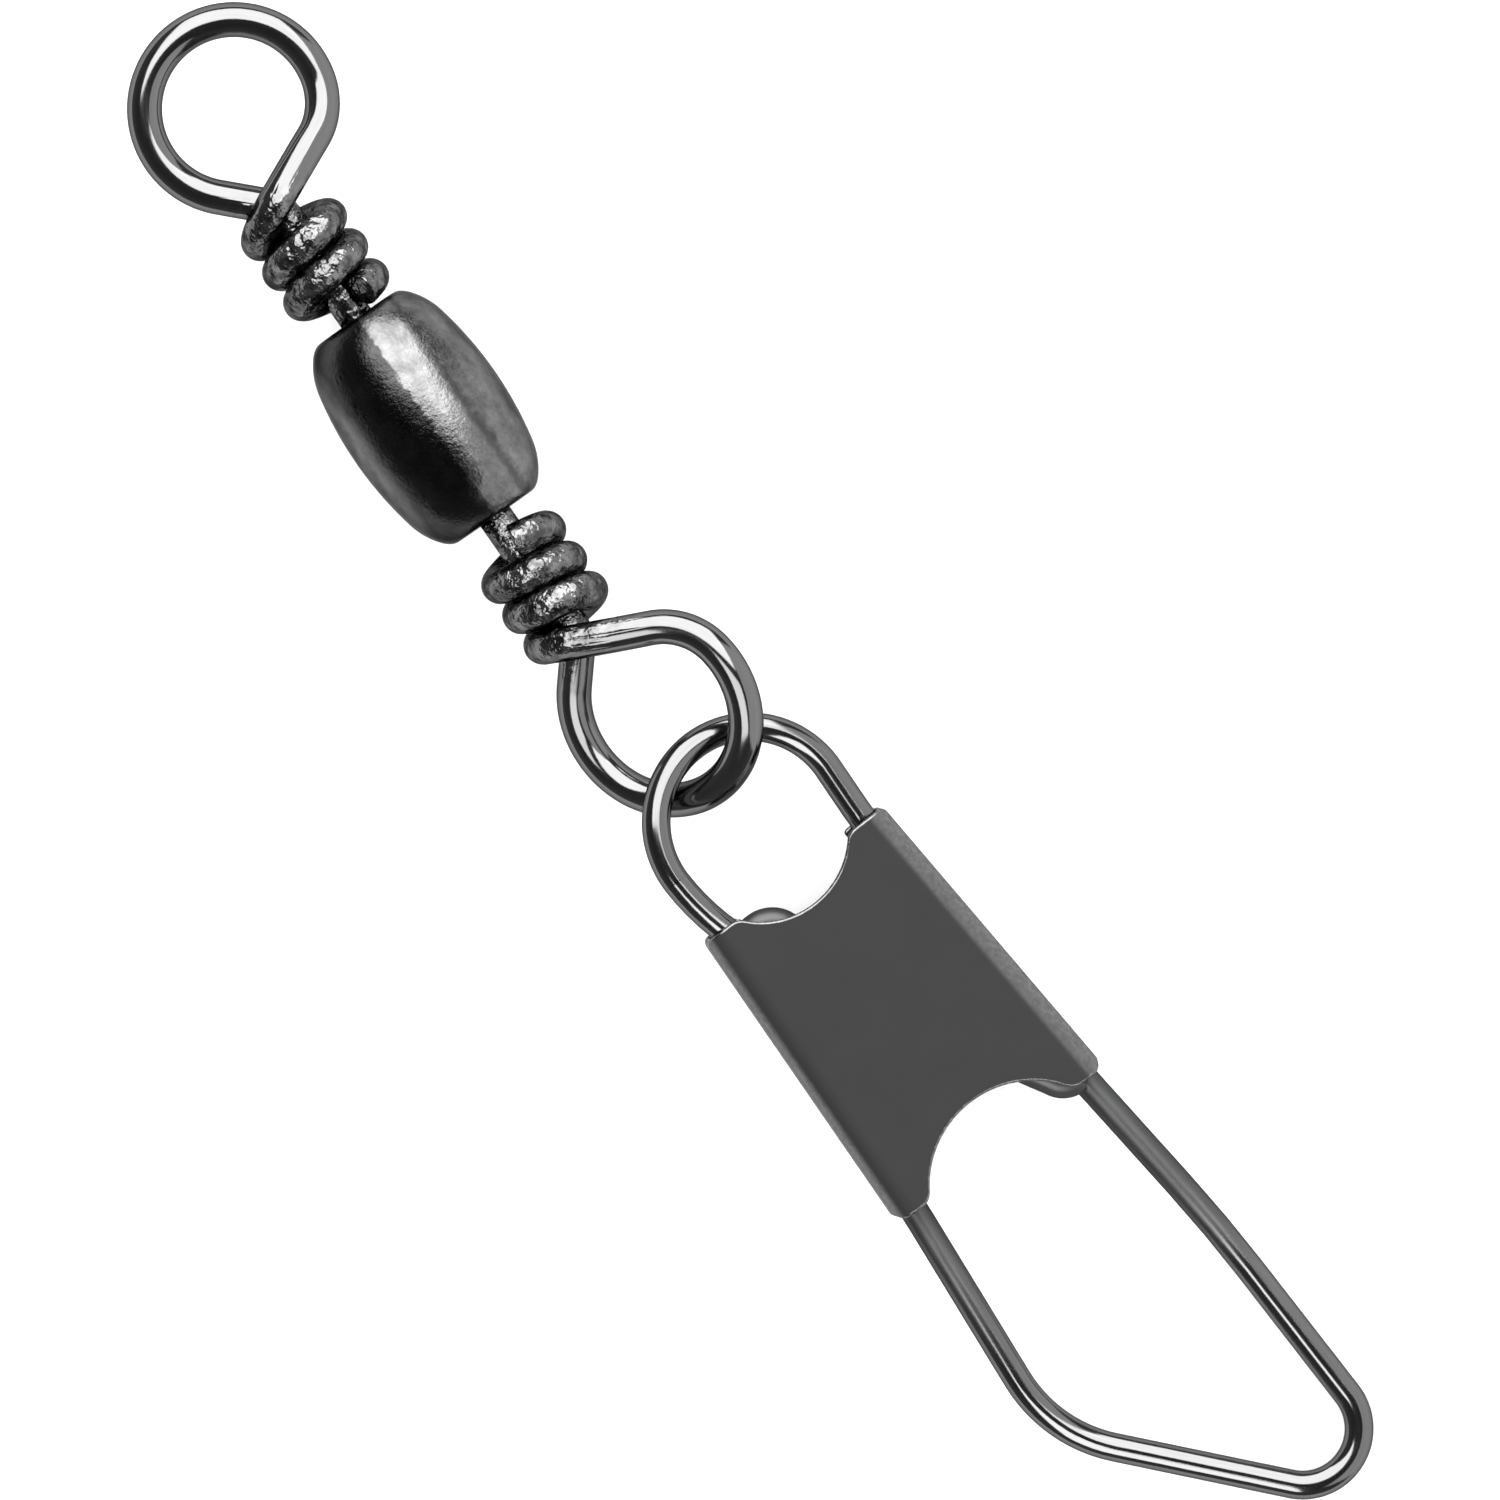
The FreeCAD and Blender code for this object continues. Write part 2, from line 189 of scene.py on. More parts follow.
def loop_centre(eye):
    """Centre of an eye's loop, from the straight leg that joins it to the bend at the neck."""
    angle = radians(NECK_ANGLE)
    neck_x = eye["reach"] + NECK_BEND_RADIUS * sin(angle)
    neck_y = -NECK_BEND_RADIUS * (1 - cos(angle))
    leg = (neck_y + eye["radius"] * cos(angle) - eye["side"]) / sin(angle)
    return Vector((neck_x + leg * cos(angle) + eye["radius"] * sin(angle), eye["side"], 0))


def arc(centre, radius, start, stop, level=0.0):
    """Points of a flat arc between two bearings in degrees."""
    steps = max(2, ceil(abs(radians(stop - start)) / BEND_STEP))
    bearings = [radians(start + (stop - start) * i / steps) for i in range(steps + 1)]
    return [Vector((centre[0] + radius * cos(b), centre[1] + radius * sin(b), level)) for b in bearings]


def tangent_arcs(start, heading, end, end_heading):
    """Points after the first of two arcs that make one smooth bend from a point and heading to another."""
    chord = end - start
    spread = 1 - heading.dot(end_heading)
    along = chord.dot(heading + end_heading)
    reach = (sqrt(along * along + 2 * spread * chord.dot(chord)) - along) / (2 * spread)
    joint = (start + end + (heading - end_heading) * reach) / 2
    halves = ((start, start + heading * reach, joint), (joint, end - end_heading * reach, end))
    out = []
    for first, corner, last in halves:
        back, ahead = first - corner, last - corner
        centre = corner + (back + ahead) * (back.length_squared / back.dot(back + ahead))
        one, two = first - centre, last - centre
        turn = one.angle(two)
        steps = max(2, ceil(turn / BEND_STEP))
        for i in range(1, steps + 1):
            share = i / steps
            out.append(centre + (one * sin((1 - share) * turn) + two * sin(share * turn)) / sin(turn))
    return out


def eye_path(eye):
    """Centreline of an eye on the +X side, from its head to the cut end of its wraps."""
    reach, radius = eye["reach"], eye["radius"]
    start = BARREL_LENGTH / 2 - BARREL_END_WALL - HEAD_PLAY - HEAD_LENGTH / 2
    bend = arc((reach, -NECK_BEND_RADIUS), NECK_BEND_RADIUS, 90, 90 - NECK_ANGLE)
    loop = arc(loop_centre(eye), radius, -90 - NECK_ANGLE, RETURN_ANGLE)
    wrap_radius = 2 * EYE_WIRE_R + WRAP_GAP
    heading = radians(RETURN_ANGLE + 90)
    bearing = radians(eye["return_bearing"])
    lean = radians(RETURN_LEAN)
    crossing = Vector((eye["return_reach"], wrap_radius * cos(bearing), wrap_radius * sin(bearing)))
    across = Vector((-sin(lean), -cos(lean) * sin(bearing), cos(lean) * cos(bearing)))
    stops = [(loop[-1], Vector((cos(heading), sin(heading), 0))), (crossing, across)]
    for index in range(ceil(WRAP_TURNS * 2) + 1):
        turns = min(index / 2, WRAP_TURNS)
        turn = pi + 2 * pi * turns
        x = reach - WRAP_START_INSET - wrap_radius * turns
        climb = Vector((-1 / (2 * pi), -sin(turn), cos(turn))).normalized()
        stops.append((Vector((x, wrap_radius * cos(turn), wrap_radius * sin(turn))), climb))
    path = [Vector((start, 0, 0))] + bend + loop
    for (here, ahead), (there, onwards) in zip(stops, stops[1:]):
        path += tangent_arcs(here, ahead, there, onwards)
    return path


def clasp_half_width(u):
    """Half the clasp's width at a distance along it."""
    return CLASP_TOP_HALF + CLASP_TAPER * u


def channel_side(u):
    """Distance from the clasp's middle line to the centre of the wire in a side channel."""
    return clasp_half_width(u) - CHANNEL_INSET


def link_loop_side():
    """Distance from the clasp's middle line to the centre of the link loop."""
    return channel_side(0) + LINK_LOOP_SHIFT - LINK_LOOP_RADIUS


def nose_reach():
    """Distance along the snap to the corner that its nose rounds off."""
    return CLASP_LENGTH + HEEL_REACH + (NOSE_SIDE + HEEL_SIDE) / tan(radians(NOSE_ANGLE))


def rounded_path(corners, level):
    """Points through corners, each with its own bend radius, at one height in the clasp."""
    out = [Vector((corners[0][0], corners[0][1], level))]
    for before, corner, after in zip(corners, corners[1:], corners[2:]):
        here = Vector((corner[0], corner[1], level))
        back = (Vector((before[0], before[1], level)) - here).normalized()
        ahead = (Vector((after[0], after[1], level)) - here).normalized()
        half = back.angle(ahead) / 2
        centre = here + (back + ahead).normalized() * (corner[2] / sin(half))
        entry = here + back * (corner[2] / tan(half)) - centre
        leave = here + ahead * (corner[2] / tan(half)) - centre
        start = degrees(atan2(entry.y, entry.x))
        turn = (degrees(atan2(leave.y, leave.x)) - start + 180) % 360 - 180
        out += arc(centre, corner[2], start, start + turn, level)
    out.append(Vector((corners[-1][0], corners[-1][1], level)))
    return out


def snap_path():
    """Centreline of the whole snap wire in its own frame, from the free end's hook to the front hook."""
    hook_v = -channel_side(BACK_HOOK_INSET)
    foot = CLASP_LENGTH
    back_layer = rounded_path([
        (BACK_HOOK_INSET + BACK_HOOK_TAIL, hook_v + BACK_HOOK_WIDTH, 0),
        (BACK_HOOK_INSET, hook_v + BACK_HOOK_WIDTH, BACK_HOOK_RADIUS),
        (BACK_HOOK_INSET, hook_v, BACK_HOOK_RADIUS),
        (foot, -channel_side(foot), CHANNEL_BEND_RADIUS),
        (foot + HEEL_REACH, -HEEL_SIDE, HEEL_RADIUS),
        (nose_reach(), NOSE_SIDE, NOSE_RADIUS),
        (foot + LONG_LEG_REACH, LONG_LEG_SIDE, LONG_LEG_RADIUS),
        (foot, channel_side(foot), CHANNEL_BEND_RADIUS),
        (0, channel_side(0), LINK_BEND_RADIUS),
        (-LINK_LOOP_REACH, channel_side(0) + LINK_LOOP_SHIFT, 0)], -LAYER_HEIGHT)
    middle = link_loop_side()
    top_loop = []
    steps = ceil(pi / BEND_STEP)
    for i in range(1, steps):
        turn = pi * i / steps
        out = -LINK_LOOP_REACH - sqrt(LINK_LOOP_RADIUS ** 2 + LAYER_HEIGHT ** 2) * sin(turn)
        top_loop.append(Vector((out, middle + LINK_LOOP_RADIUS * cos(turn), -LAYER_HEIGHT * cos(turn))))
    left = middle - LINK_LOOP_RADIUS
    lean_start = -LINK_LOOP_REACH + LINK_LEG_RADIUS * tan(radians(LINK_LEG_LEAN))
    hook_u = foot - FRONT_HOOK_INSET
    front_layer = rounded_path([
        (-LINK_LOOP_REACH, left, 0),
        (lean_start, left, LINK_LEG_RADIUS),
        (hook_u, FRONT_HOOK_SIDE, FRONT_HOOK_RADIUS),
        (hook_u, FRONT_HOOK_SIDE + FRONT_HOOK_TAIL, 0)], LAYER_HEIGHT)
    return back_layer + top_loop + front_layer


def snap_matrix():
    """Where the snap lies: its top loop through the eye, its nose on the ground."""
    height = BARREL_R + LINK_RISE
    lowest_u = nose_reach() - NOSE_RADIUS / tan(radians(NOSE_ANGLE / 2)) + NOSE_RADIUS * cos(pi / 4)
    lowest_v = NOSE_SIDE - NOSE_RADIUS + NOSE_RADIUS * sin(pi / 4)
    loop_v = link_loop_side()
    roll = radians(SNAP_ROLL)
    drop = height - SNAP_WIRE_R - LAYER_HEIGHT * cos(roll) - (lowest_v - loop_v) * sin(roll)
    pitch = asin(drop / (lowest_u + LINK_LOOP_REACH))
    turn = Matrix.Rotation(radians(SNAP_YAW), 4, "Z") @ Matrix.Rotation(pitch, 4, "Y")
    turn = turn @ Matrix.Rotation(-roll, 4, "X")
    far_x = loop_centre(SNAP_EYE).x + SNAP_EYE["radius"]
    apex_x = far_x - EYE_WIRE_R - SNAP_WIRE_R - LINK_SLACK
    top_centre = Vector((-LINK_LOOP_REACH, loop_v, 0))
    target = Vector((apex_x + LINK_LOOP_RADIUS * cos(pitch), SNAP_SHIFT, height - BARREL_R))
    return Matrix.Translation(target - turn.to_3x3() @ top_centre) @ turn


def sweep(bm, path, radius):
    """A round wire along a path, with both cut ends slightly rounded off."""
    points = [p for i, p in enumerate(path) if i == 0 or (p - path[i - 1]).length > SAME_POINT]
    tangents = []
    for i in range(len(points)):
        before = points[max(i - 1, 0)]
        after = points[min(i + 1, len(points) - 1)]
        tangents.append((after - before).normalized())
    side = tangents[0].orthogonal().normalized()
    rings, along = [], 0.0
    for i, (p, t) in enumerate(zip(points, tangents)):
        side = (side - t * side.dot(t)).normalized()
        along += (p - points[max(i - 1, 0)]).length
        rings.append((p, side.copy(), t.cross(side), radius, along))
    caps = []
    for end, outward in ((0, -tangents[0]), (-1, tangents[-1])):
        p, side, other, _, reach = rings[end]
        for share in (0.5, 1.0):
            out = WIRE_END_ROUNDING * (sin(share * pi / 2) - 1)
            inner = radius - WIRE_END_ROUNDING * (1 - cos(share * pi / 2))
            caps.append((p + outward * out, side, other, inner, reach))
        rings[end] = (p - outward * WIRE_END_ROUNDING, side, other, radius, reach)
    rings = [caps[1], caps[0]] + rings + caps[2:]
    run = bm.verts.layers.float_vector["run"]
    loops = []
    for p, side, other, size, reach in rings:
        loop = []
        for k in range(RING_SIDES):
            angle = 2 * pi * k / RING_SIDES
            vert = bm.verts.new(p + (side * cos(angle) + other * sin(angle)) * size)
            vert[run] = Vector((reach, radius * cos(angle), radius * sin(angle)))
            loop.append(vert)
        loops.append(loop)
    for one, two in zip(loops, loops[1:]):
        for k in range(RING_SIDES):
            n = (k + 1) % RING_SIDES
            bm.faces.new((one[k], one[n], two[n], two[k]))
    bm.faces.new(list(reversed(loops[0])))
    bm.faces.new(loops[-1])


def revolve(bm, outline, sides):
    """A closed outline of (x, r) points turned about the X axis; points with r 0 close on the axis."""
    rings = []
    for x, r in outline:
        if r == 0:
            rings.append([bm.verts.new((x, 0, 0))])
            continue
        ring = []
        for k in range(sides):
            angle = 2 * pi * k / sides
            ring.append(bm.verts.new((x, r * cos(angle), r * sin(angle))))
        rings.append(ring)
    closed = outline[0][1] != 0
    pairs = list(zip(rings, rings[1:])) + ([(rings[-1], rings[0])] if closed else [])
    for one, two in pairs:
        for k in range(sides):
            n = (k + 1) % sides
            corners = [one[k % len(one)], one[n % len(one)], two[n % len(two)], two[k % len(two)]]
            bm.faces.new(list(dict.fromkeys(corners)))


def new_mesh():
    """An empty bmesh with the two layers that the materials read."""
    bm = bmesh.new()
    bm.verts.layers.float_vector.new("run")
    bm.verts.layers.float.new("worked_and_sheen")
    return bm


def finish_piece(name, bm, matrix, materials, body, node):
    """Turns a bmesh in millimetres into a piece in the frame, which stands for a CAD node."""
    place = Matrix.Translation(BARREL_CENTRE) @ Matrix.Scale(MM, 4) @ matrix
    bm.transform(place)
    bmesh.ops.recalc_face_normals(bm, faces=bm.faces)
    mesh = bpy.data.meshes.new(name)
    bm.to_mesh(mesh)
    bm.free()
    for polygon in mesh.polygons:
        polygon.use_smooth = True
    piece = bpy.data.objects.new(name, mesh)
    bpy.context.scene.collection.objects.link(piece)
    for material in materials:
        mesh.materials.append(material)
    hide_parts(node)
    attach(piece, body)
    return piece


def mark_sharp_edges(piece):
    """Marks the sharp edges, so that flat ends and round sides shade apart."""
    bm = bmesh.new()
    bm.from_mesh(piece.data)
    for edge in bm.edges:
        edge.smooth = len(edge.link_faces) == 2 and edge.calc_face_angle(0) < SHARP_EDGE
    bm.to_mesh(piece.data)
    bm.free()


def barrel_outline(half_length, radius, end_radius, wall, rim_radius):
    """The barrel's half profile from one end to the other, with rounded rims."""
    crown_radius = radius - BARREL_CROWN_DROP
    crown_x = BARREL_CROWN_HALF - wall / 2
    run = Vector((half_length - crown_x, end_radius - crown_radius, 0))
    middle = Vector(((half_length + crown_x) / 2, (end_radius + crown_radius) / 2, 0))
    shoulder = middle + Vector((-run.y, run.x, 0)).normalized() * BARREL_SHOULDER_BULGE
    crown = three_point_arc((-crown_x, crown_radius), (0, radius), (crown_x, crown_radius), CROWN_STEPS)
    side = three_point_arc((crown_x, crown_radius), shoulder[:2], (half_length, end_radius), SHOULDER_STEPS)
    if rim_radius:
        cut = next(i for i, p in enumerate(side) if half_length - p[0] < rim_radius)
        keep = side[:cut]
        last = Vector(keep[-1])
        face = Vector((half_length, end_radius - rim_radius))
        corner = Vector((half_length, end_radius))
        rim = [last.lerp(corner, s).lerp(corner.lerp(face, s), s) for s in (0.2, 0.4, 0.6, 0.8, 1.0)]
        side = keep + [tuple(p) for p in rim]
    mirrored = [(-x, r) for x, r in reversed(side)]
    return mirrored + crown[1:-1] + side


def three_point_arc(first, middle, last, steps):
    """Points of the arc through three points of a plane."""
    a, b, c = (Vector(p) for p in (first, middle, last))
    ab, ac = b - a, c - a
    off = Vector((ac.y * ab.length_squared - ab.y * ac.length_squared,
                  ab.x * ac.length_squared - ac.x * ab.length_squared)) / (2 * (ab.x * ac.y - ab.y * ac.x))
    centre = a + off
    start = atan2(-off.y, -off.x)
    turn = (atan2(c.y - centre.y, c.x - centre.x) - start + pi) % (2 * pi) - pi
    bearings = [start + turn * i / steps for i in range(steps + 1)]
    return [(centre.x + off.length * cos(t), centre.y + off.length * sin(t)) for t in bearings]


def make_barrel(material):
    """The hollow barrel with its rounded rims, end holes and cavity."""
    half = BARREL_LENGTH / 2
    hole_r = EYE_WIRE_R + HOLE_GAP
    outside = barrel_outline(half, BARREL_R, BARREL_END_R, 0, BARREL_RIM_RADIUS)
    inner_half = half - BARREL_END_WALL
    inside = barrel_outline(inner_half, BARREL_R - BARREL_WALL, HEAD_R + HEAD_PLAY, BARREL_WALL, 0)
    hole = [(half, hole_r + HOLE_CHAMFER), (half - HOLE_CHAMFER, hole_r), (inner_half, hole_r)]
    far_hole = [(-x, r) for x, r in reversed(hole)]
    bm = new_mesh()
    revolve(bm, outside + hole + list(reversed(inside)) + far_hole, BARREL_SIDES)
    as_made = Matrix.Identity(4)
    piece = finish_piece("barrel_body", bm, as_made, [material], "barrel", "barrel")
    mark_sharp_edges(piece)


def make_eye(name, eye, matrix, materials, node):
    """An eye: head, shank, loop and wraps, with the worked zone of the wraps marked for its material."""
    bm = new_mesh()
    sweep(bm, eye_path(eye), EYE_WIRE_R)
    worked_and_sheen = bm.verts.layers.float["worked_and_sheen"]
    edge = eye["reach"] + EYE_WIRE_R
    for vert in bm.verts:
        vert[worked_and_sheen] = clamp((edge - vert.co.x) / WORKED_FADE + 0.5)
    seat = BARREL_LENGTH / 2 - BARREL_END_WALL - HEAD_PLAY
    back = seat - HEAD_LENGTH
    revolve(bm, [(back, 0), (back, HEAD_R - HEAD_BEVEL), (back + HEAD_BEVEL, HEAD_R),
                 (seat - HEAD_BEVEL, HEAD_R), (seat, HEAD_R - HEAD_BEVEL), (seat, 0)], HEAD_SIDES)
    piece = finish_piece(name, bm, matrix, materials, node, node)
    mark_sharp_edges(piece)


def make_snap_wire(matrix, materials):
    """The snap's whole spring wire, with both legs by the clasp and the free end marked as satin."""
    bm = new_mesh()
    sweep(bm, snap_path(), SNAP_WIRE_R)
    worked_and_sheen = bm.verts.layers.float["worked_and_sheen"]
    for vert in bm.verts:
        fade = SHORT_LEG_SATIN if vert.co.y < 0 else LONG_LEG_SATIN
        below = (CLASP_LENGTH + fade - vert.co.x) / SATIN_FADE + 0.5
        free_end = vert.co.x > 0 and vert.co.y < 0 and vert.co.z < 0
        above = 1 if free_end else (vert.co.x - CLASP_LENGTH / 2) / SATIN_FADE + 0.5
        vert[worked_and_sheen] = clamp(min(below, above))
    piece = finish_piece("snap_spring_wire", bm, matrix, materials, "snap", "snap_wire")
    mark_sharp_edges(piece)


def clasp_section(u, inset):
    """Points across the folded sheet at one distance along it, from flange to flange round the front."""
    half_width = clasp_half_width(u) - inset
    half_height = CLASP_HALF_HEIGHT - inset
    radius = CLASP_FOLD_RADIUS - inset
    flat_v, flat_w = half_width - radius, half_height - radius
    lip = clasp_half_width(u) - CLASP_FLANGE
    right = [(lip + (flat_v - lip) * i / FLANGE_STEPS, -half_height) for i in range(FLANGE_STEPS)]
    for start, w in ((-90, -flat_w), (0, flat_w)):
        for i in range(FOLD_STEPS + 1):
            angle = radians(start + 90 * i / FOLD_STEPS)
            right.append((flat_v + radius * cos(angle), w + radius * sin(angle)))
    front = [flat_v * (1 - i / FRONT_STEPS) for i in range(1, FRONT_STEPS)]
    middle = [(v, half_height) for v in front + [0] + [-v for v in reversed(front)]]
    left = [(-v, w) for v, w in reversed(right)]
    return right + middle + left


def end_depth(v, end, half_width):
    """How far the outline of one end lies inside its end line: a blended hollow and rounded corners."""
    radius, blend, corner = end["radius"], CUT_BLEND, end["corner"]
    reach = sqrt((radius + blend) ** 2 - (blend + radius - end["depth"]) ** 2)
    off = abs(v - end["shift"])
    past = min(corner, abs(v) - half_width + corner)
    if off < reach * radius / (radius + blend):
        return end["depth"] - radius + sqrt(radius ** 2 - off ** 2)
    if off < reach:
        return blend - sqrt(blend ** 2 - (reach - off) ** 2)
    return corner - sqrt(corner ** 2 - past ** 2) if past > 0 else 0.0


def make_clasp(matrix, materials):
    """The folded sheet: outer and inner skins, joined round all its cut edges."""
    bm = new_mesh()
    skins = []
    top_half = clasp_half_width(TOP_END["corner"])
    bottom_half = clasp_half_width(CLASP_LENGTH - BOTTOM_END["corner"])
    for inset in (0.0, CLASP_SHEET):
        count = len(clasp_section(0, inset))
        columns = []
        for k in range(count):
            column = []
            for i in range(CLASP_ROWS + 1):
                u = CLASP_LENGTH * i / CLASP_ROWS
                # The clasp widens along its length, so a point's place settles in a few rounds
                for _ in range(4):
                    v = clasp_section(u, inset)[k][0]
                    top = end_depth(v, TOP_END, top_half)
                    foot = CLASP_LENGTH - end_depth(v, BOTTOM_END, bottom_half)
                    u = top + (foot - top) * i / CLASP_ROWS
                v, w = clasp_section(u, inset)[k]
                column.append(bm.verts.new((u, v, w)))
            columns.append(column)
        skins.append(columns)
    outer, inner = skins
    for skin in skins:
        for one, two in zip(skin, skin[1:]):
            for i in range(CLASP_ROWS):
                bm.faces.new((one[i], one[i + 1], two[i + 1], two[i]))
    rim = []
    for i in range(CLASP_ROWS):
        rim.append(bm.faces.new((outer[0][i], outer[0][i + 1], inner[0][i + 1], inner[0][i])))
        rim.append(bm.faces.new((outer[-1][i], inner[-1][i], inner[-1][i + 1], outer[-1][i + 1])))
    for k in range(len(outer) - 1):
        for i in (0, CLASP_ROWS):
            rim.append(bm.faces.new((outer[k][i], inner[k][i], inner[k + 1][i], outer[k + 1][i])))
    for face in rim:
        face.material_index = 1
    # Marks a painted highlight along both folds, wider on the long side
    worked_and_sheen = bm.verts.layers.float["worked_and_sheen"]
    for vert in bm.verts:
        from_edge = clasp_half_width(vert.co.x) - abs(vert.co.y)
        sheen_width = SHORT_SIDE_PAINTED_SHEEN if vert.co.y < 0 else LONG_SIDE_PAINTED_SHEEN
        vert[worked_and_sheen] = clamp(1 + FULL_PAINTED_SHEEN_SHARE - from_edge / sheen_width)
    piece = finish_piece("clasp_folded_sheet", bm, matrix, materials, "snap", "clasp_plate")
    bevel = piece.modifiers.new("soft_edges", "BEVEL")
    bevel.width = CLASP_EDGE_BEVEL * MM
    bevel.segments = 3
    bevel.limit_method = "ANGLE"
    bevel.angle_limit = SHARP_EDGE
    bevel.material = 1
    bevel.harden_normals = True


class Shader:
    """A small helper that adds nodes to a new metal material."""

    def __init__(self, name, grey, roughness, edge_tint):
        self.material = bpy.data.materials.new(name)
        self.material.use_nodes = True
        self.nodes = self.material.node_tree.nodes
        self.links = self.material.node_tree.links
        self.surface = self.nodes["Principled BSDF"]
        self.surface.inputs["Base Color"].default_value = self.metal(grey)
        self.surface.inputs["Metallic"].default_value = 1.0
        self.surface.inputs["Roughness"].default_value = roughness
        self.surface.inputs["Specular Tint"].default_value = (edge_tint, edge_tint, edge_tint, 1)
        self.material.diffuse_color = self.metal(grey)

    def metal(self, grey):
        """The colour of black nickel of a given grey."""
        return (grey, grey, grey * BLUE_TRACE, 1)

    def add(self, kind, **inputs):
        """A node of a kind, with values or links for its inputs by name or number."""
        node = self.nodes.new(kind)
        for key, value in inputs.items():
            self.put(node, key, value)
        return node

    def put(self, node, key, value):
        """Sets or links one input of a node."""
        socket = node.inputs[int(key[1:])] if key[0] == "n" and key[1:].isdigit() else node.inputs[key]
        if isinstance(value, bpy.types.NodeSocket):
            self.links.new(value, socket)
        else:
            socket.default_value = value

    def place(self, scale=(1, 1, 1)):
        """Coordinates on the object, in millimetres times a scale."""
        source = self.add("ShaderNodeTexCoord").outputs["Object"]
        node = self.add("ShaderNodeVectorMath", n0=source, n1=tuple(s / MM for s in scale))
        node.operation = "MULTIPLY"
        return node.outputs[0]

    def run(self, scale):
        """Coordinates along and round the wire, in millimetres times a scale."""
        source = self.add("ShaderNodeAttribute")
        source.attribute_name = "run"
        node = self.add("ShaderNodeVectorMath", n0=source.outputs["Vector"], n1=scale)
        node.operation = "MULTIPLY"
        return node.outputs[0]

    def worked_and_sheen(self):
        """How strongly the metal is marked by bending and wrapping, from 0 to 1; on the sheet, how strongly
        its folds carry a painted highlight.
        """
        node = self.add("ShaderNodeAttribute")
        node.attribute_name = "worked_and_sheen"
        return node.outputs["Fac"]

    def noise(self, vector, scale, detail, roughness=0.5):
        """A noise texture's value."""
        node = self.add("ShaderNodeTexNoise", Vector=vector, Scale=scale, Detail=detail, Roughness=roughness)
        return node.outputs["Fac"]

    def span(self, value, low, high, to_low, to_high):
        """A value taken from one range to another, kept within it."""
        node = self.add("ShaderNodeMapRange", n0=value, n1=low, n2=high, n3=to_low, n4=to_high)
        return node.outputs[0]

    def math(self, operation, one, two):
        """One sum or product of two values."""
        node = self.add("ShaderNodeMath", n0=one, n1=two)
        node.operation = operation
        return node.outputs[0]

    def mix(self, share, one, two):
        """A value between two values by a share from 0 to 1."""
        return self.add("ShaderNodeMix", Factor=share, n2=one, n3=two).outputs[0]

    def blend(self, share, one, two):
        """A colour between two colours by a share from 0 to 1."""
        node = self.add("ShaderNodeMix")
        node.data_type = "RGBA"
        for key, value in (("n0", share), ("n6", one), ("n7", two)):
            self.put(node, key, value)
        return node.outputs[2]

    def tone(self, value, dark, light):
        """Black nickel between two greys by a value from 0 to 1."""
        return self.blend(value, self.metal(dark), self.metal(light))

    def bump(self, height, distance):
        """Puts a bump of a height on the surface, over what is there already."""
        node = self.add("ShaderNodeBump", Height=height, Distance=distance)
        socket = self.surface.inputs["Normal"]
        if socket.links:
            self.links.new(socket.links[0].from_socket, node.inputs["Normal"])
        self.links.new(node.outputs[0], socket)

    def set(self, name, value):
        """Links or sets one of the surface's own inputs."""
        self.put(self.surface, name, value)


def drawn_wire():
    """Black nickel on the eyes' wire: glossy with faint lines along it, dented where it was wrapped."""
    s = Shader("black_nickel_eye", grey=0.21, roughness=0.12, edge_tint=0.3)
    lines = s.noise(s.run((0.35, 9, 9)), scale=3.0, detail=3)
    dents = s.noise(s.place(), scale=1.7, detail=3, roughness=0.55)
    cloud = s.noise(s.place(), scale=2.4, detail=5, roughness=0.65)
    grain = s.noise(s.place(), scale=9.0, detail=3, roughness=0.6)
    worked_and_sheen = s.worked_and_sheen()
    polish = s.span(lines, 0.3, 0.7, 0.10, 0.14)
    rough = s.span(cloud, 0.40, 0.60, 0.12, 0.22)
    s.set("Roughness", s.mix(worked_and_sheen, polish, rough))
    plain = s.tone(s.span(lines, 0.3, 0.7, 0, 1), 0.20, 0.22)
    dull = s.tone(s.span(cloud, 0.40, 0.60, 0, 1), 0.09, 0.25)
    s.set("Base Color", s.blend(worked_and_sheen, plain, dull))
    s.bump(lines, 0.0008 * MM)
    s.bump(s.math("MULTIPLY", dents, worked_and_sheen), 0.20 * MM)
    s.bump(s.math("MULTIPLY", grain, worked_and_sheen), 0.010 * MM)
    return s.material


def spring_wire():
    """Black nickel on the snap's wire: glossy, and satin where it slides in the clasp."""
    s = Shader("black_nickel_spring", grey=0.20, roughness=0.12, edge_tint=0.3)
    lines = s.noise(s.run((0.35, 9, 9)), scale=3.0, detail=3)
    worked_and_sheen = s.worked_and_sheen()
    polish = s.span(lines, 0.3, 0.7, 0.10, 0.14)
    satin = s.span(lines, 0.3, 0.7, 0.40, 0.46)
    s.set("Roughness", s.mix(worked_and_sheen, polish, satin))
    bright = s.tone(s.span(lines, 0.3, 0.7, 0, 1), 0.19, 0.21)
    dull = s.tone(s.span(lines, 0.3, 0.7, 0, 1), 0.09, 0.11)
    s.set("Base Color", s.blend(worked_and_sheen, bright, dull))
    s.bump(lines, 0.0008 * MM)
    return s.material


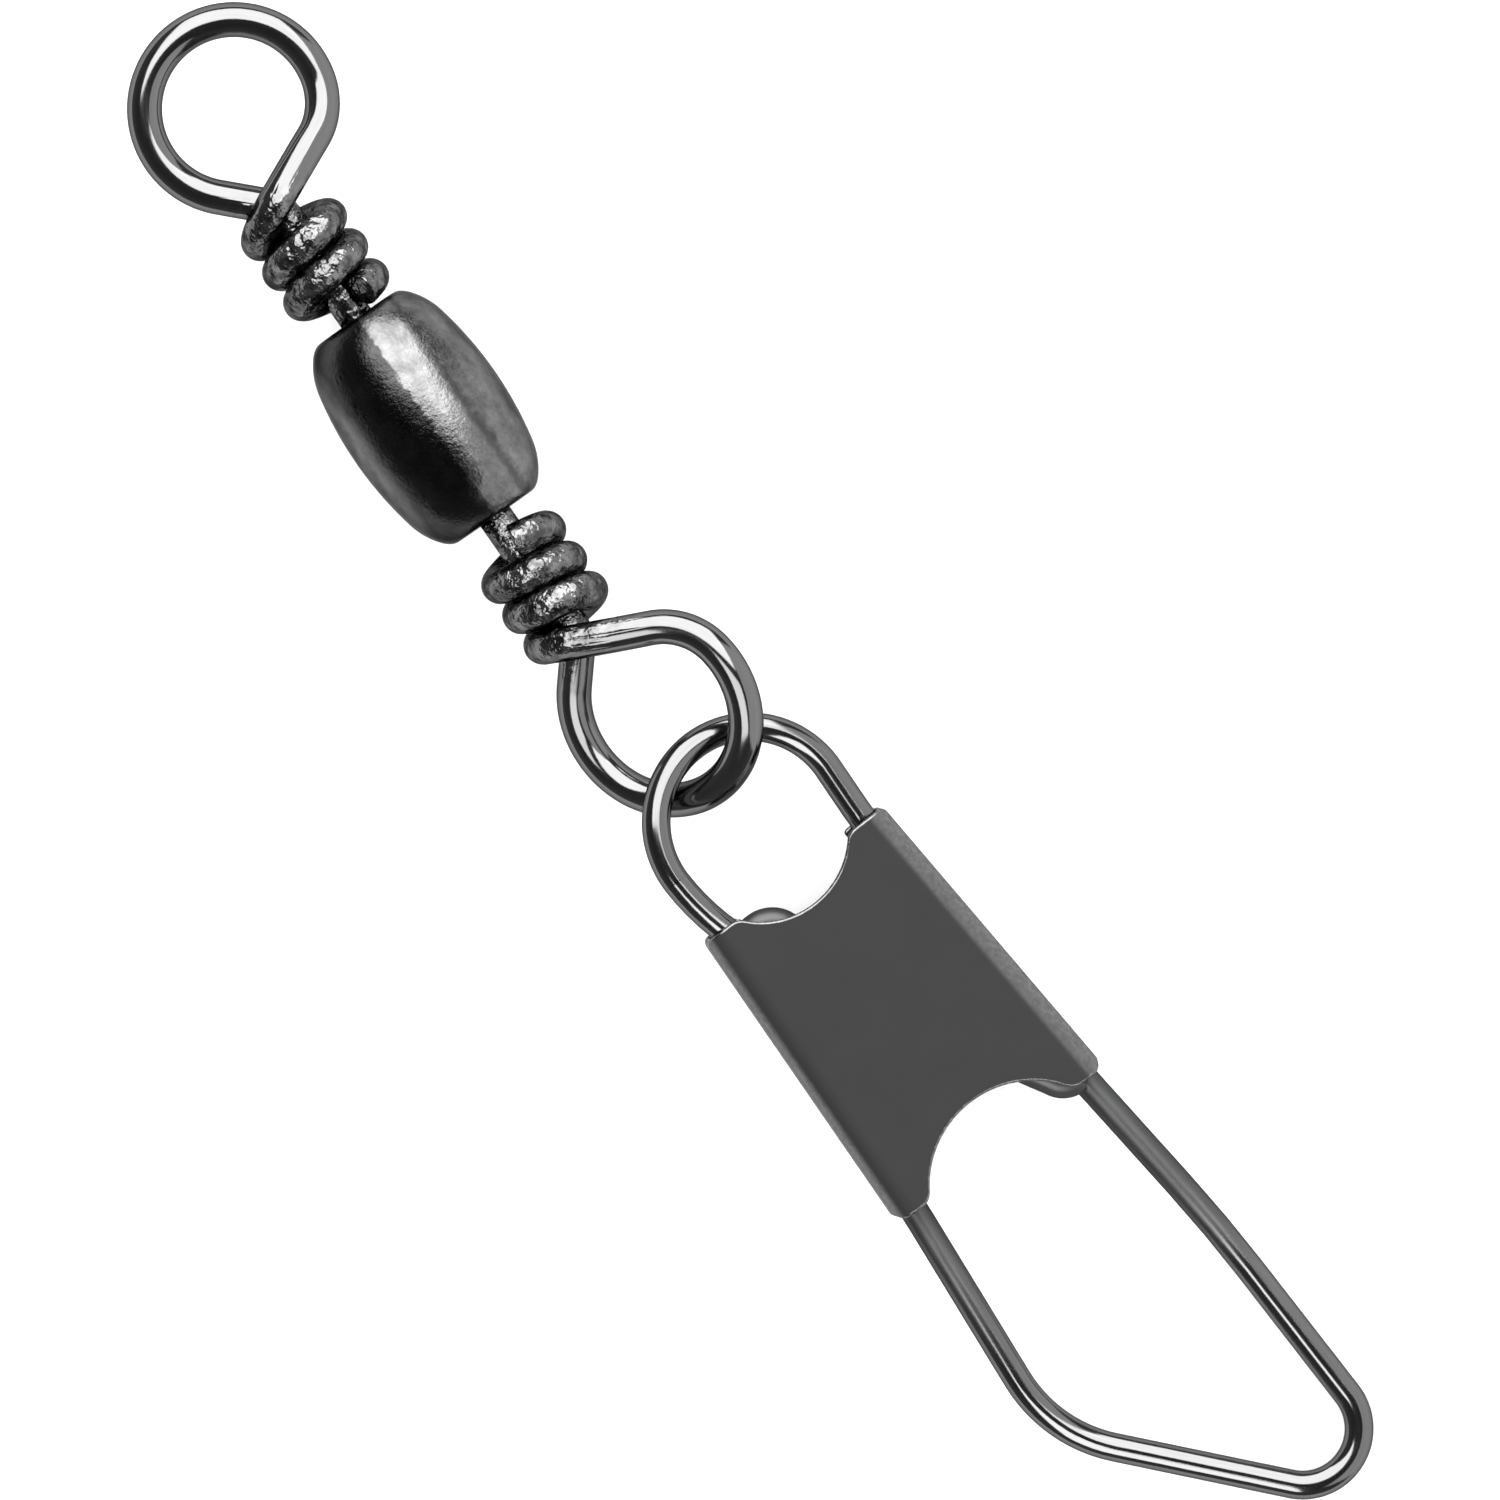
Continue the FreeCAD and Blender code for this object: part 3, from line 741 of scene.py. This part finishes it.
def swaged_metal():
    """Black nickel on the swaged barrel: fine grain, mottled, with painted shade darkening one side and a
    thin painted dark line beside its highlight strip.
    """
    s = Shader("black_nickel_barrel", grey=0.15, roughness=0.15, edge_tint=0.4)
    grain = s.noise(s.place(), scale=8.0, detail=4, roughness=0.65)
    speck = s.noise(s.place(), scale=12.0, detail=3, roughness=0.7)
    cloud = s.noise(s.place((0.7, 1, 1)), scale=1.1, detail=4, roughness=0.6)
    mottle = s.noise(s.place(), scale=2.6, detail=5, roughness=0.65)
    tone = s.math("ADD", s.math("MULTIPLY", cloud, 0.5), s.math("MULTIPLY", mottle, 0.35))
    tone = s.math("ADD", tone, s.math("MULTIPLY", speck, 0.15))
    bright = s.tone(s.span(tone, 0.40, 0.60, 0, 1), 0.13, 0.26)
    dark = s.tone(s.span(tone, 0.40, 0.60, 0, 1), 0.045, 0.075)
    # Painted shade: a dark band down one side and a thin dark line, which frame the highlight strip that the
    # main light draws on the barrel
    across = s.add("ShaderNodeSeparateXYZ", Vector=s.place()).outputs["Y"]
    across = s.math("SUBTRACT", across, BARREL_CENTRE.y / MM)
    across = s.math("ADD", across, s.span(mottle, 0.3, 0.7, -0.08, 0.08))
    painted_shade_band = s.span(across, *PAINTED_SHADE_INNER_EDGE, 1, 0)
    painted_shade_band = s.math("MULTIPLY", painted_shade_band, s.span(across, *PAINTED_SHADE_OUTER_EDGE, 0, 1))
    painted_shade_line = s.span(across, *PAINTED_LINE_INNER_EDGE, 0, PAINTED_LINE_SHARE)
    painted_shade_line = s.math("MULTIPLY", painted_shade_line, s.span(across, *PAINTED_LINE_OUTER_EDGE, 1, 0))
    s.set("Base Color", s.blend(s.math("ADD", painted_shade_band, painted_shade_line), bright, dark))
    s.set("Roughness", s.span(tone, 0.35, 0.65, 0.09, 0.16))
    s.bump(mottle, 0.008 * MM)
    s.bump(grain, 0.015 * MM)
    return s.material


def satin_sheet():
    """Black nickel on rolled sheet: even dark satin with a faint grain, with a painted highlight along the
    folds.
    """
    s = Shader("black_nickel_sheet", grey=0.036, roughness=0.36, edge_tint=0.5)
    grain = s.noise(s.place((0.3, 6, 6)), scale=6.0, detail=4, roughness=0.6)
    speck = s.noise(s.place(), scale=7.0, detail=4, roughness=0.65)
    cloud = s.noise(s.place(), scale=0.8, detail=3)
    face = s.tone(s.span(cloud, 0.3, 0.7, 0, 1), 0.036, 0.038)
    # Painted highlight: lighter speckled metal along the folds, where the light would catch them
    painted_sheen = s.tone(s.span(speck, 0.35, 0.65, 0, 1), 0.15, 0.23)
    worked_and_sheen = s.worked_and_sheen()
    s.set("Base Color", s.blend(worked_and_sheen, face, painted_sheen))
    s.set("Roughness", s.span(grain, 0.3, 0.7, 0.34, 0.38))
    s.set("Metallic", s.mix(worked_and_sheen, 0.6, 0.9))
    s.set("Specular IOR Level", 0.2)
    s.bump(grain, 0.0006 * MM)
    return s.material


def sheared_edge():
    """The sheet's cut edge: brighter metal with fine shear marks across it."""
    s = Shader("sheared_edge", grey=0.26, roughness=0.28, edge_tint=0.6)
    marks = s.noise(s.place(), scale=9.0, detail=4, roughness=0.6)
    s.set("Base Color", s.tone(s.span(marks, 0.35, 0.65, 0, 1), 0.15, 0.26))
    s.set("Roughness", s.span(marks, 0.35, 0.65, 0.18, 0.30))
    s.bump(marks, 0.003 * MM)
    return s.material


def make_camera():
    """The camera straight above the middle of the picture, turned to the photo's slant."""
    data = bpy.data.cameras.new("camera")
    data.sensor_width = SENSOR
    data.lens = SENSOR * CAMERA_HEIGHT / PICTURE_WIDTH
    data.clip_start = 0.01
    data.clip_end = 10
    camera = bpy.data.objects.new("camera", data)
    bpy.context.scene.collection.objects.link(camera)
    camera.location = BARREL_CENTRE + Vector((*PICTURE_CENTRE, CAMERA_HEIGHT)) * MM
    camera.rotation_euler = (0, 0, radians(CAMERA_TURN))
    bpy.context.scene.camera = camera


def soft_box(name, up, right, size, radiance, only=None):
    """A rectangular light card, placed by its tilt from overhead to the picture's top and right. With only,
    it lights that piece alone, as a small card held close to it would."""
    data = bpy.data.lights.new(name, "AREA")
    data.shape = "RECTANGLE"
    data.size, data.size_y = size
    data.energy = radiance * pi * size[0] * size[1]
    box = bpy.data.objects.new(name, data)
    bpy.context.scene.collection.objects.link(box)
    tilt = Matrix.Rotation(radians(CAMERA_TURN), 4, "Z")
    tilt = tilt @ Matrix.Rotation(radians(-up), 4, "X") @ Matrix.Rotation(radians(right), 4, "Y")
    box.matrix_world = tilt @ Matrix.Translation((0, 0, CARD_DISTANCE))
    box.visible_diffuse = False
    box.visible_camera = False
    if only:
        lit = bpy.data.collections.new(name + "_pieces")
        lit.objects.link(bpy.data.objects[only])
        box.light_linking.receiver_collection = lit


def make_floor(seen, mirrored):
    """A plain pale floor, which the metal mirrors darker than it is seen."""
    mesh = bpy.data.meshes.new("floor")
    corners = [(FLOOR_HALF * x, FLOOR_HALF * y, 0) for x, y in ((-1, -1), (1, -1), (1, 1), (-1, 1))]
    mesh.from_pydata(corners, [], [(0, 1, 2, 3)])
    floor = bpy.data.objects.new("floor", mesh)
    bpy.context.scene.collection.objects.link(floor)
    material = bpy.data.materials.new("pale_floor")
    material.use_nodes = True
    nodes, links = material.node_tree.nodes, material.node_tree.links
    surface = nodes["Principled BSDF"]
    path = nodes.new("ShaderNodeLightPath")
    shade = nodes.new("ShaderNodeMix")
    shade.data_type = "RGBA"
    links.new(path.outputs["Is Glossy Ray"], shade.inputs["Factor"])
    shade.inputs[6].default_value = (seen, seen, seen, 1)
    shade.inputs[7].default_value = (mirrored, mirrored, mirrored, 1)
    links.new(shade.outputs[2], surface.inputs["Base Color"])
    surface.inputs["Roughness"].default_value = 0.9
    surface.inputs["Specular IOR Level"].default_value = 0.0
    mesh.materials.append(material)


def make_world(seen, soft, overhead, horizon):
    """The studio: pale where it is seen, even soft light on the floor; the metal mirrors it dark
    overhead and paler towards the horizon."""
    world = bpy.data.worlds.new("studio")
    bpy.context.scene.world = world
    world.use_nodes = True
    nodes, links = world.node_tree.nodes, world.node_tree.links
    background = nodes["Background"]
    background.inputs["Color"].default_value = (1, 1, 1, 1)
    direction = nodes.new("ShaderNodeSeparateXYZ")
    links.new(nodes.new("ShaderNodeTexCoord").outputs["Generated"], direction.inputs[0])
    rise = nodes.new("ShaderNodeMapRange")
    rise.interpolation_type = "SMOOTHSTEP"
    links.new(direction.outputs["Z"], rise.inputs["Value"])
    for key, value in enumerate((0.0, SKY_TOP, horizon, overhead), 1):
        rise.inputs[key].default_value = value
    path = nodes.new("ShaderNodeLightPath")
    by_gloss = nodes.new("ShaderNodeMix")
    links.new(path.outputs["Is Glossy Ray"], by_gloss.inputs["Factor"])
    by_gloss.inputs[2].default_value = soft
    links.new(rise.outputs[0], by_gloss.inputs[3])
    by_camera = nodes.new("ShaderNodeMix")
    links.new(path.outputs["Is Camera Ray"], by_camera.inputs["Factor"])
    links.new(by_gloss.outputs[0], by_camera.inputs[2])
    by_camera.inputs[3].default_value = seen
    links.new(by_camera.outputs[0], background.inputs["Strength"])


def make_studio():
    """Floor, lights and camera."""
    bpy.context.scene.view_settings.view_transform = "Standard"
    make_floor(seen=0.86, mirrored=0.36)
    make_world(seen=1.0, soft=2.8, overhead=0.04, horizon=0.12)
    soft_box("main_box", up=41, right=-3, size=(0.61, 0.68), radiance=4.3)
    soft_box("side_fill", up=0, right=60, size=(0.60, 1.0), radiance=0.9)
    soft_box("wire_card", up=-38, right=-5, size=(0.22, 0.36), radiance=4.6, only="snap_spring_wire")
    soft_box("eye_card", up=-26, right=-5, size=(0.36, 0.32), radiance=3.2, only="snap_eye_wire")
    soft_box("sheet_card", up=-36, right=6, size=(0.34, 0.14), radiance=4.0, only="clasp_folded_sheet")
    make_camera()


def main():
    snap = snap_matrix()
    roll = Matrix.Rotation(radians(SNAP_EYE_ROLL), 4, "X")
    mirror = Matrix.Scale(-1, 4, Vector((1, 0, 0)))
    eye_metal = drawn_wire()
    make_barrel(swaged_metal())
    make_eye("line_eye_wire", LINE_EYE, mirror, [eye_metal], "line_eye")
    make_eye("snap_eye_wire", SNAP_EYE, roll, [eye_metal], "snap_eye")
    make_snap_wire(snap, [spring_wire()])
    make_clasp(snap, [satin_sheet(), sheared_edge()])
    make_studio()


main()
